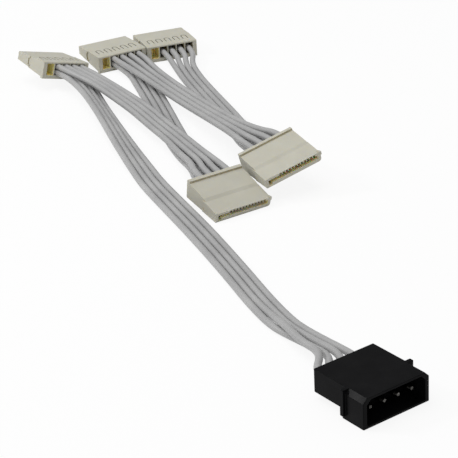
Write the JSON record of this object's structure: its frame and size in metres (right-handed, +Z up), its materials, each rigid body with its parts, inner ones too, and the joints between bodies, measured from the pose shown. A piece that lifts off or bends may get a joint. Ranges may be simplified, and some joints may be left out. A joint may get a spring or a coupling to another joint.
{
  "type": "sata power splitter cable",
  "caption": "Power splitter cable: a black shelled pin plug feeds a daisy chain of ivory drive connectors with L-keyed slots through flat ribbons of pale wires.",
  "frame": {"origin": "on the floor, at the middle of the footprint of the plug and the drive connectors", "axes": "+Z up; +Y from the plug towards the far row of connectors, so that the plug's mouth faces -Y; +X to the right seen from the plug"},
  "size_m": [0.1538, 0.3068, 0.0179],
  "materials": {
    "plug_plastic": "satin black",
    "drive_plastic": "satin ivory",
    "contact_metal": "tin plated",
    "wire_insulation": "soft sheen, pale grey"
  },
  "bodies": {
    "root": {"plug_housing": "plug_plastic", "plug_pin_1": "contact_metal", "plug_pin_2": "contact_metal", "plug_pin_3": "contact_metal", "plug_pin_4": "contact_metal", "connector_1_contact_1": "contact_metal", "connector_1_contact_2": "contact_metal", "connector_1_contact_3": "contact_metal", "connector_1_contact_4": "contact_metal", "connector_2_contact_1": "contact_metal", "connector_2_contact_2": "contact_metal", "connector_2_contact_3": "contact_metal", "connector_2_contact_4": "contact_metal", "connector_3_contact_1": "contact_metal", "connector_3_contact_2": "contact_metal", "connector_3_contact_3": "contact_metal", "connector_3_contact_4": "contact_metal", "connector_4_contact_1": "contact_metal", "connector_4_contact_2": "contact_metal", "connector_4_contact_3": "contact_metal", "connector_4_contact_4": "contact_metal", "connector_5_contact_1": "contact_metal", "connector_5_contact_2": "contact_metal", "connector_5_contact_3": "contact_metal", "connector_5_contact_4": "contact_metal", "connector_1_housing": "drive_plastic", "connector_2_housing": "drive_plastic", "connector_3_housing": "drive_plastic", "connector_4_housing": "drive_plastic", "connector_5_housing": "drive_plastic", "run_1_wire_1": "wire_insulation", "run_1_wire_2": "wire_insulation", "run_1_wire_3": "wire_insulation", "run_1_wire_4": "wire_insulation", "run_2_wire_1": "wire_insulation", "run_2_wire_2": "wire_insulation", "run_2_wire_3": "wire_insulation", "run_2_wire_4": "wire_insulation", "run_3_wire_1": "wire_insulation", "run_3_wire_2": "wire_insulation", "run_3_wire_3": "wire_insulation", "run_3_wire_4": "wire_insulation", "run_4_wire_1": "wire_insulation", "run_4_wire_2": "wire_insulation", "run_4_wire_3": "wire_insulation", "run_4_wire_4": "wire_insulation", "run_5_wire_1": "wire_insulation", "run_5_wire_2": "wire_insulation", "run_5_wire_3": "wire_insulation", "run_5_wire_4": "wire_insulation"}
  },
  "joints": []
}
